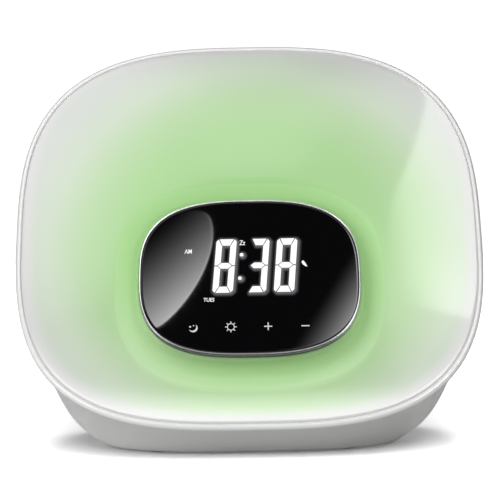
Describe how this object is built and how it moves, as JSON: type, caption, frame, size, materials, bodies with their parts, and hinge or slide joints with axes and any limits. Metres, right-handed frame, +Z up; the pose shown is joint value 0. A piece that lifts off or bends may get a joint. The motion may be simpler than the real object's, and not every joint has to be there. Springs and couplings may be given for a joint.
{
  "type": "sunrise alarm clock",
  "caption": "Leaning rounded-square wake-up light with a glowing domed diffuser, a metal-edged black glass display pod, and a rear panel with speaker, buttons, alarm switch and power jack.",
  "frame": {"origin": "on the table, under the middle of the clock's bounding box", "axes": "+X to the right as seen from the front, face towards -Y, +Z up"},
  "size_m": [0.2186, 0.1426, 0.1958],
  "materials": {
    "rim_white": "gloss white",
    "casing_white": "gloss white",
    "diffuser": "gloss translucent white, lit pale green",
    "tray_white": "matte white reflector",
    "housing_grey": "satin grey",
    "bezel_metal": "polished metal",
    "lens_black": "polished black",
    "circuit_green": "solder mask",
    "component_black": "matte",
    "led_yellow": "phosphor",
    "screw_steel": "machined",
    "post_white": "moulded",
    "panel_white": "satin white",
    "grille_grey": "satin dark grey",
    "cone_black": "paper",
    "button_grey": "satin grey",
    "ribbon_white": "flexible",
    "jack_black": "moulded",
    "contact_gold": "plated",
    "cell_steel": "plated",
    "foot_rubber": "matte"
  },
  "bodies": {
    "clock": {"front_rim": "rim_white", "diffuser": "diffuser", "rear_shell": "casing_white", "reflector_tray": "tray_white", "led_board": "circuit_green", "leds": "led_yellow", "led_board_screws": "screw_steel", "chassis_posts": "post_white", "main_board": "circuit_green", "main_board_parts": "component_black", "main_board_screws": "screw_steel", "display_housing": "housing_grey", "display_bezel": "bezel_metal", "display_lens": "lens_black", "display_module": "component_black", "display_board": "circuit_green", "display_screws": "screw_steel", "touch_pads": "contact_gold", "display_cable": "ribbon_white", "rear_panel": "panel_white", "panel_screws": "screw_steel", "speaker_grille": "grille_grey", "speaker_basket": "component_black", "speaker_cone": "cone_black", "speaker_magnet": "screw_steel", "button_board": "circuit_green", "button_switches": "component_black", "button_board_screws": "screw_steel", "rear_cable": "ribbon_white", "slide_switch": "screw_steel", "dc_jack": "jack_black", "dc_jack_pin": "contact_gold", "battery_tray": "post_white", "battery_contacts": "contact_gold", "coin_cell": "cell_steel", "door_hinge_pin": "screw_steel", "foot_front_left": "foot_rubber", "foot_front_right": "foot_rubber", "foot_rear_left": "foot_rubber", "foot_rear_right": "foot_rubber"},
    "time_button": {"time_button": "button_grey"},
    "alarm_button": {"alarm_button": "button_grey"},
    "sound_button": {"sound_button": "button_grey"},
    "light_button": {"light_button": "button_grey"},
    "alarm_slider": {"alarm_slider": "button_grey"},
    "battery_door": {"battery_door": "casing_white"}
  },
  "joints": [
    {"name": "time_button_press", "type": "slide", "parent": "clock", "child": "time_button", "axis": [0, -0.9205, 0.3907], "range_m": [0, 0.0008], "stiffness_N_per_m": 400},
    {"name": "alarm_button_press", "type": "slide", "parent": "clock", "child": "alarm_button", "axis": [0, -0.9205, 0.3907], "range_m": [0, 0.0008], "stiffness_N_per_m": 400},
    {"name": "sound_button_press", "type": "slide", "parent": "clock", "child": "sound_button", "axis": [0, -0.9205, 0.3907], "range_m": [0, 0.0008], "stiffness_N_per_m": 400},
    {"name": "light_button_press", "type": "slide", "parent": "clock", "child": "light_button", "axis": [0, -0.9205, 0.3907], "range_m": [0, 0.0008], "stiffness_N_per_m": 400},
    {"name": "alarm_switch_slide", "type": "slide", "parent": "clock", "child": "alarm_slider", "axis": [0, 0.3907, 0.9205], "range_m": [0, 0.004]},
    {"name": "battery_door_hinge", "type": "hinge", "parent": "clock", "child": "battery_door", "pos_m": [0, -0.01457, 0.0023], "axis": [-1, 0, 0], "range_deg": [0, 90]}
  ]
}
